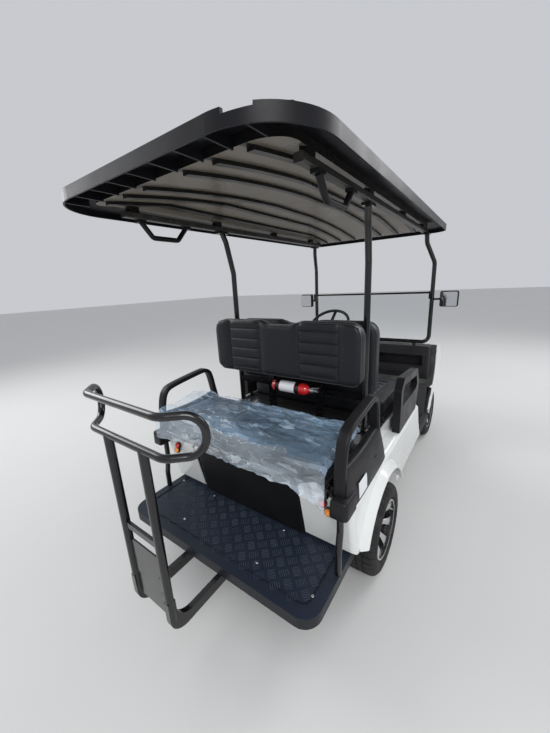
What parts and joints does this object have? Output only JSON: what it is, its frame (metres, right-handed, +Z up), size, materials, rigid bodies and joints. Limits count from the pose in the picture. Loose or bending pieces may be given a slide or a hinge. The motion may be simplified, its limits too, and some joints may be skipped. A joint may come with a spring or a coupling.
{
  "type": "four-seat golf cart",
  "caption": "Electric golf cart with canopy roof, folding windscreen, forward seat, rear-facing flip bench, step plate and rear grab bar.",
  "frame": {"origin": "on the ground, under the middle of the whole cart", "axes": "+X forward, +Y to the driver's left, +Z up"},
  "size_m": [3.018, 1.412, 1.921],
  "materials": {
    "tyre": "matt black rubber",
    "alloy_rim": "black lacquer with machined spoke faces",
    "chassis_steel": "black paint",
    "spring_steel": "dark steel",
    "battery_case": "dark case",
    "body_paint": "gloss white",
    "lamp_clear": "clear lens",
    "dash_plastic": "textured black",
    "floor_mat": "ribbed mat",
    "moulded_black": "satin moulded",
    "lamp_colour": "amber and red lens",
    "roof_plastic": "satin black",
    "liner_plastic": "satin black, fine grain",
    "rail_metal": "black with worn edges",
    "tube_black": "gloss black powder coat",
    "screen_clear": "clear acrylic with haze",
    "seat_vinyl": "black vinyl, sewn channels",
    "deck_trim": "dark plate with a bright edge",
    "tub_plastic": "black",
    "step_plastic": "blue-black tread",
    "wheel_grip": "soft grip",
    "pedal_metal": "ribbed pad",
    "mirror_glass": "glass in a black frame",
    "red_paint": "gloss red with a blank pale band"
  },
  "bodies": {
    "chassis": {"frame_rails": "chassis_steel", "rear_axle": "chassis_steel", "rear_springs": "spring_steel", "front_suspension": "chassis_steel", "battery_block": "battery_case", "body_rear": "body_paint", "body_front": "body_paint", "headlamps": "lamp_clear", "dash": "dash_plastic", "floor_pan": "floor_mat", "front_bumper": "moulded_black", "tail_lamps": "lamp_colour", "roof_shell": "roof_plastic", "roof_liner": "liner_plastic", "roof_rails": "rail_metal", "roof_handles": "moulded_black", "rear_struts": "tube_black", "windscreen_frame": "tube_black", "windscreen": "screen_clear", "rear_seat_back": "seat_vinyl", "front_seat_back": "seat_vinyl", "seat_back_frame": "tube_black", "rear_seat_frame": "tube_black", "rear_armrests": "moulded_black", "front_hip_rails": "moulded_black", "storage_tub": "tub_plastic", "footplate": "step_plastic", "grab_bar": "tube_black", "steering_column": "tube_black", "pedals": "pedal_metal", "mirrors": "mirror_glass", "extinguisher": "red_paint"},
    "wheel_rear_left": {"tyre_rear_left": "tyre", "rim_rear_left": "alloy_rim"},
    "wheel_rear_right": {"tyre_rear_right": "tyre", "rim_rear_right": "alloy_rim"},
    "wheel_front_left": {"tyre_front_left": "tyre", "rim_front_left": "alloy_rim"},
    "wheel_front_right": {"tyre_front_right": "tyre", "rim_front_right": "alloy_rim"},
    "knuckle_left_body": {"knuckle_left": "spring_steel"},
    "knuckle_right_body": {"knuckle_right": "spring_steel"},
    "steering": {"steering_wheel": "wheel_grip"},
    "rear_seat": {"rear_seat_cushion": "seat_vinyl", "rear_seat_deck": "deck_trim"},
    "front_seat": {"front_seat_cushion": "seat_vinyl", "front_seat_pan": "dash_plastic"}
  },
  "joints": [
    {"name": "spin_rear_left", "type": "hinge", "parent": "chassis", "child": "wheel_rear_left", "pos_m": [-0.581, 0.5175, 0.229], "axis": [0, 1, 0], "continuous": true},
    {"name": "spin_rear_right", "type": "hinge", "parent": "chassis", "child": "wheel_rear_right", "pos_m": [-0.581, -0.5175, 0.229], "axis": [0, 1, 0], "continuous": true},
    {"name": "steer_left", "type": "hinge", "parent": "chassis", "child": "knuckle_left_body", "pos_m": [1.089, 0.382, 0.229], "axis": [0, 0, 1], "range_deg": [-28, 28]},
    {"name": "steer_right", "type": "hinge", "parent": "chassis", "child": "knuckle_right_body", "pos_m": [1.089, -0.382, 0.229], "axis": [0, 0, 1], "range_deg": [-28, 28]},
    {"name": "spin_front_left", "type": "hinge", "parent": "knuckle_left_body", "child": "wheel_front_left", "pos_m": [1.089, 0.45, 0.229], "axis": [0, 1, 0], "continuous": true},
    {"name": "spin_front_right", "type": "hinge", "parent": "knuckle_right_body", "child": "wheel_front_right", "pos_m": [1.089, -0.45, 0.229], "axis": [0, 1, 0], "continuous": true},
    {"name": "wheel_turn", "type": "hinge", "parent": "chassis", "child": "steering", "pos_m": [0.597, 0.265, 1.09], "axis": [-0.6428, 0, 0.766], "range_deg": [-336, 336]},
    {"name": "rear_seat_flip", "type": "hinge", "parent": "chassis", "child": "rear_seat", "pos_m": [-1.027, 0, 0.7], "axis": [0, -1, 0], "range_deg": [0, 180]},
    {"name": "front_seat_lift", "type": "hinge", "parent": "chassis", "child": "front_seat", "pos_m": [-0.275, 0, 0.6803], "axis": [0, -1, 0], "range_deg": [0, 55]}
  ],
  "couplings": [
    {"joint": "steer_right", "follows": "steer_left", "ratio": 1},
    {"joint": "wheel_turn", "follows": "steer_left", "ratio": 12}
  ]
}
